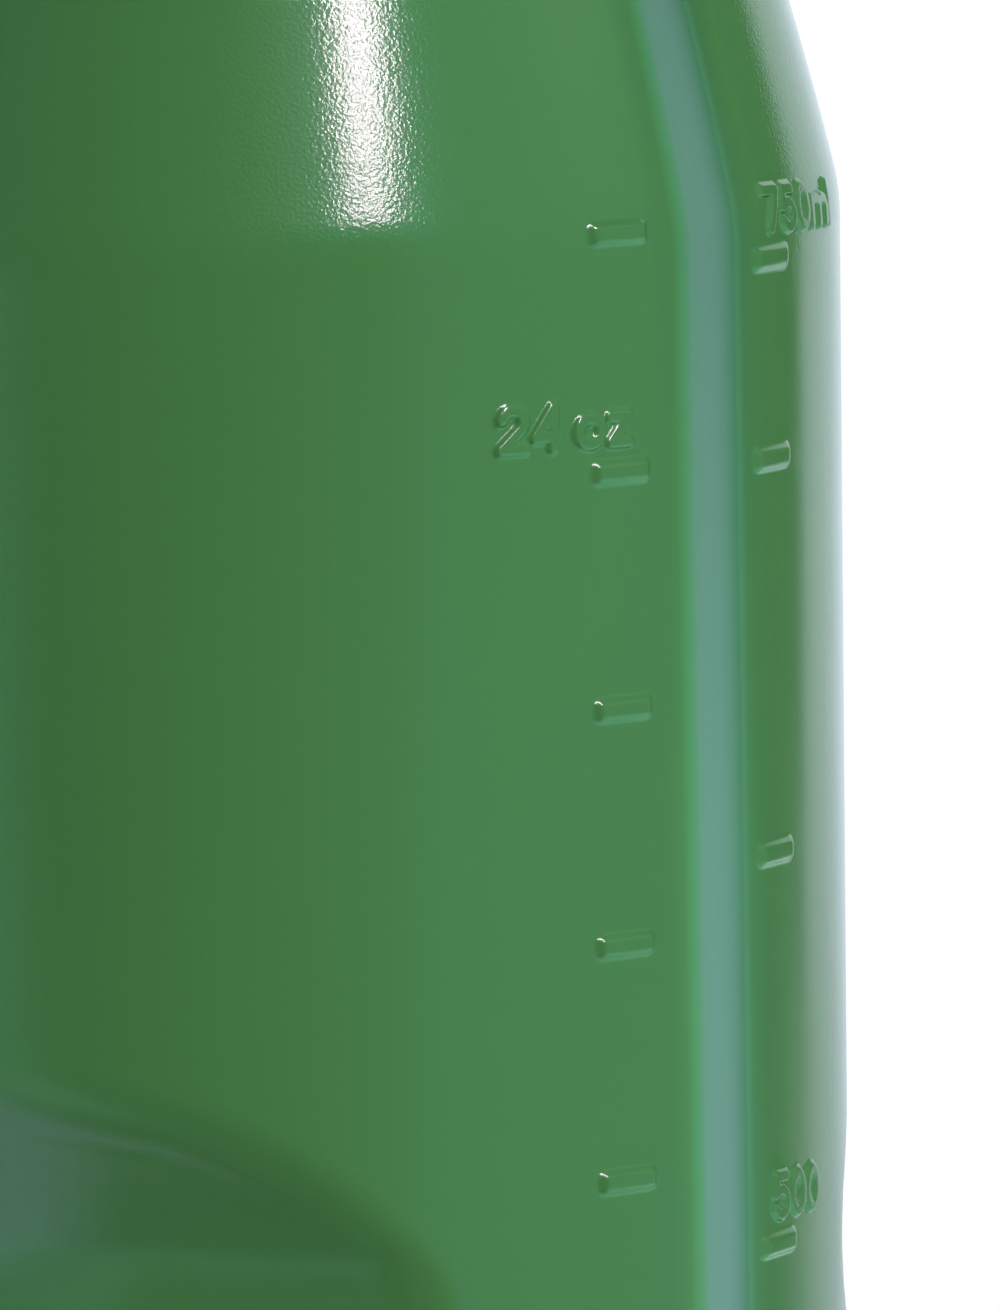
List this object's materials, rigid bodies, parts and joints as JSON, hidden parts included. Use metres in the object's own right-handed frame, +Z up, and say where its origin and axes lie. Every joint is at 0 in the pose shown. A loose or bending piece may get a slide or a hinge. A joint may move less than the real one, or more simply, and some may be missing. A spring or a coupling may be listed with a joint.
{
  "type": "oil bottle",
  "caption": "Round plastic oil bottle with two grip recesses, a view stripe, a raised fluid scale, and a screw-on conical pour spout with its cap.",
  "frame": {"origin": "centre of the base, on the surface that the bottle stands on", "axes": "+Z up along the bottle's axis; +X towards the view stripe; the grip recesses face -Y and +Y"},
  "size_m": [0.0737, 0.0736, 0.3296],
  "materials": {
    "bottle_green": "satin moulded polyethylene, lightly grained",
    "stripe_natural": "translucent natural polyethylene, satin",
    "closure_white": "satin moulded polypropylene",
    "cap_green": "satin moulded polypropylene",
    "liner_foam": "matt closed-cell foam"
  },
  "bodies": {
    "bottle": {"bottle_shell": "bottle_green", "view_stripe": "stripe_natural"},
    "loose_ring": {"tamper_ring": "closure_white"},
    "gasket": {"rim_gasket": "liner_foam"},
    "spout": {"pour_spout": "closure_white"},
    "seal": {"tip_seal": "liner_foam"},
    "cap": {"tip_cap": "cap_green"}
  },
  "joints": [
    {"name": "ring_spin", "type": "hinge", "parent": "bottle", "child": "loose_ring", "pos_m": [0, 0, 0.238], "axis": [0, 0, 1], "continuous": true},
    {"name": "spout_lift", "type": "slide", "parent": "bottle", "child": "gasket", "axis": [0, 0, 1], "range_m": [0, 0.0189]},
    {"name": "spout_turn", "type": "hinge", "parent": "gasket", "child": "spout", "pos_m": [0, 0, 0.25], "axis": [0, 0, 1], "range_deg": [0, 1620]},
    {"name": "tip_lift", "type": "slide", "parent": "spout", "child": "seal", "axis": [0, 0, 1], "range_m": [0, 0.0143]},
    {"name": "tip_turn", "type": "hinge", "parent": "seal", "child": "cap", "pos_m": [0, 0, 0.322], "axis": [0, 0, 1], "range_deg": [0, 1980]}
  ],
  "couplings": [
    {"joint": "spout_lift", "follows": "spout_turn", "m_per_rad": 0.00066845},
    {"joint": "tip_lift", "follows": "tip_turn", "m_per_rad": 0.0004138}
  ]
}
